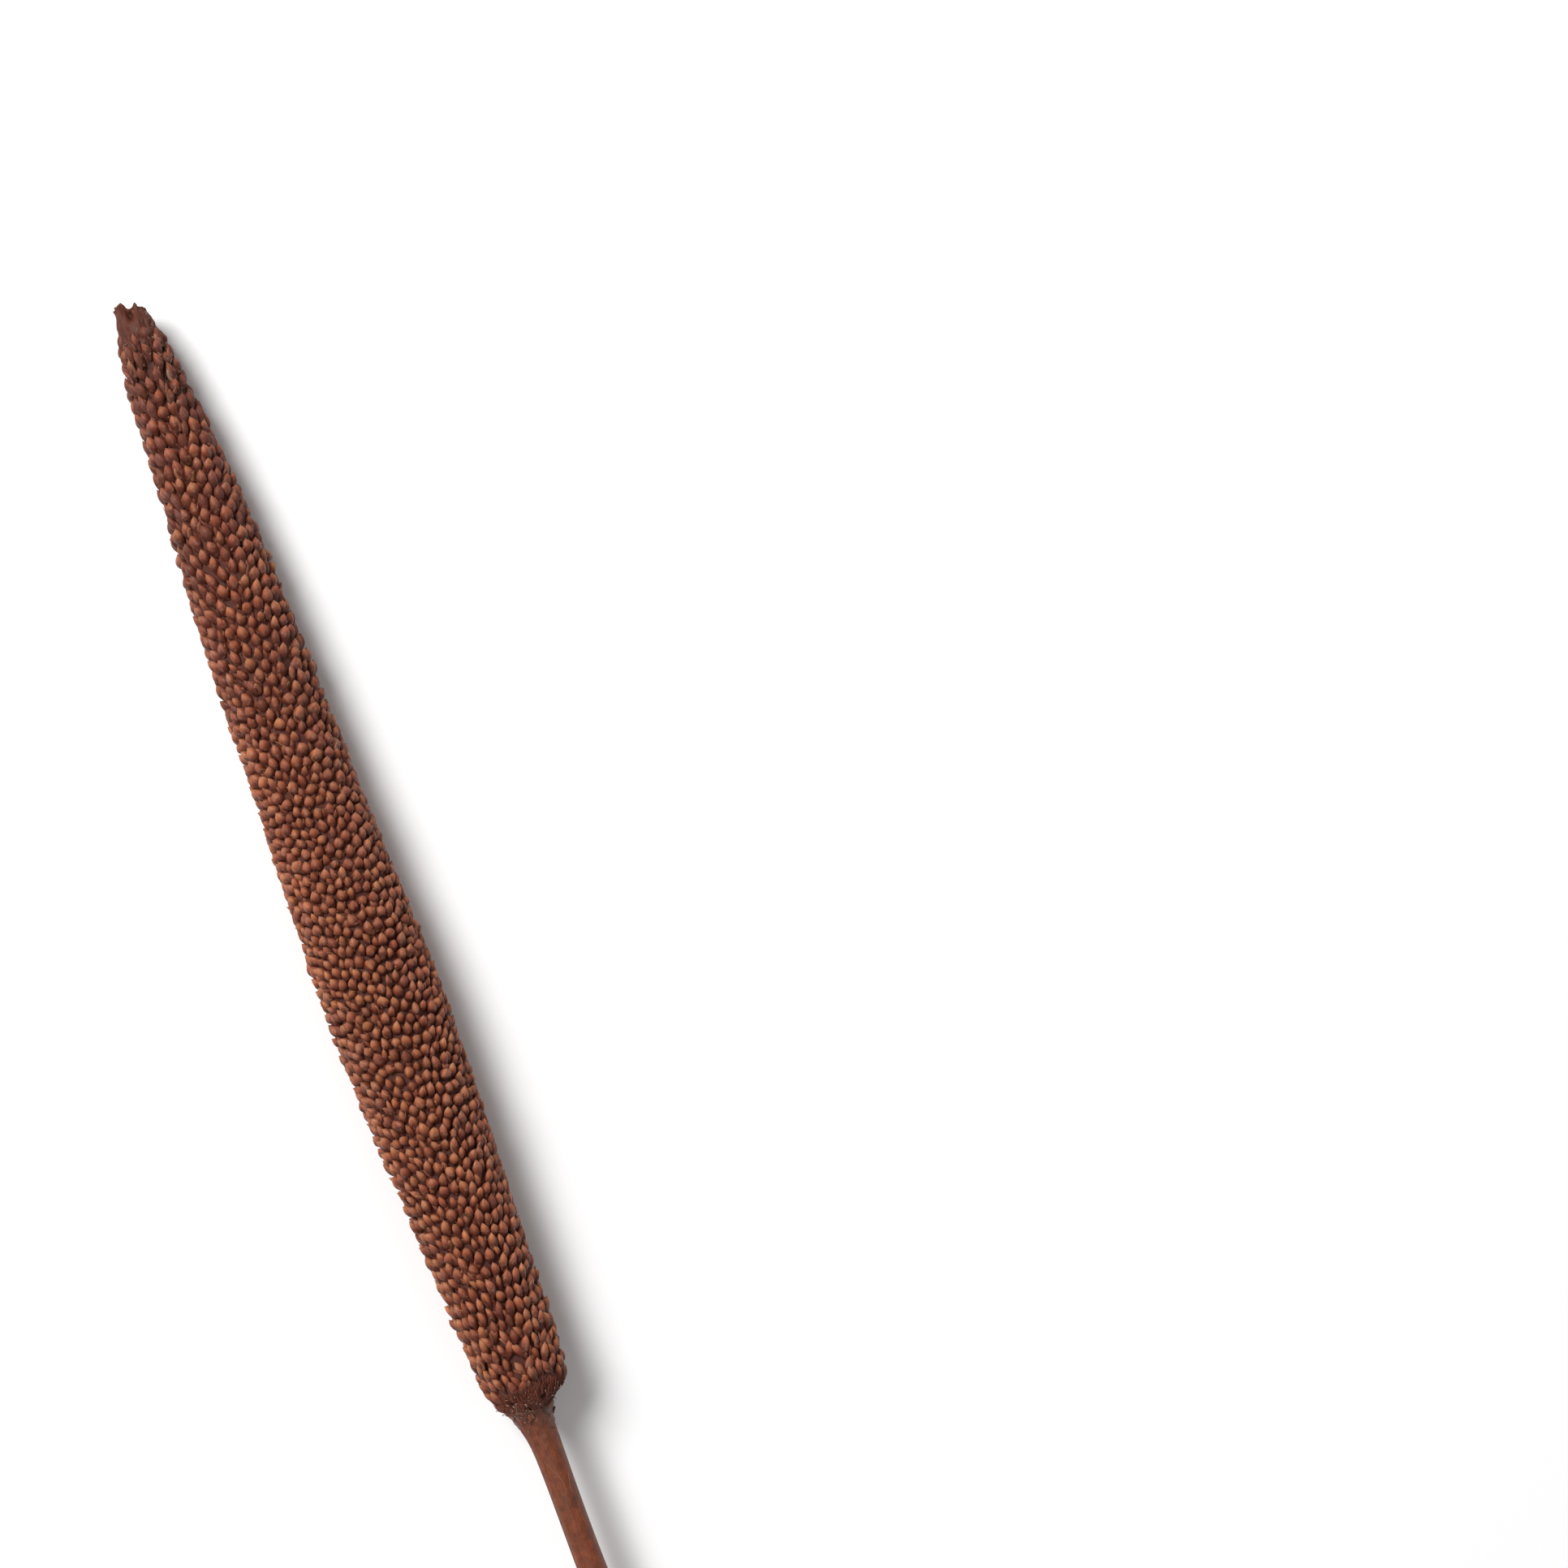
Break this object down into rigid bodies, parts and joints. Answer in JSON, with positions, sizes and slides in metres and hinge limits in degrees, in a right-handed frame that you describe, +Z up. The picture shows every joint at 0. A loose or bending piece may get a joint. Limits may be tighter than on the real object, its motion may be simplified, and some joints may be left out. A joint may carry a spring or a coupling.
{
  "type": "dried pearl millet head",
  "caption": "Dried pearl millet seed head lying on its side: a long tapering spike covered in small pointed grains, on a short cut stalk.",
  "frame": {"origin": "on the surface it lies on, under the middle of its box", "axes": "+X along the spike from the cut end of the stalk to the head's tip, +Z up from the surface"},
  "size_m": [0.3422, 0.024, 0.0234],
  "materials": {
    "grain": "dry reddish-brown grains with a faint satin sheen, darker in the gaps",
    "stalk": "dry, finely grooved, reddish brown"
  },
  "bodies": {
    "root": {"seed_head": "grain", "stalk": "stalk"}
  },
  "joints": []
}
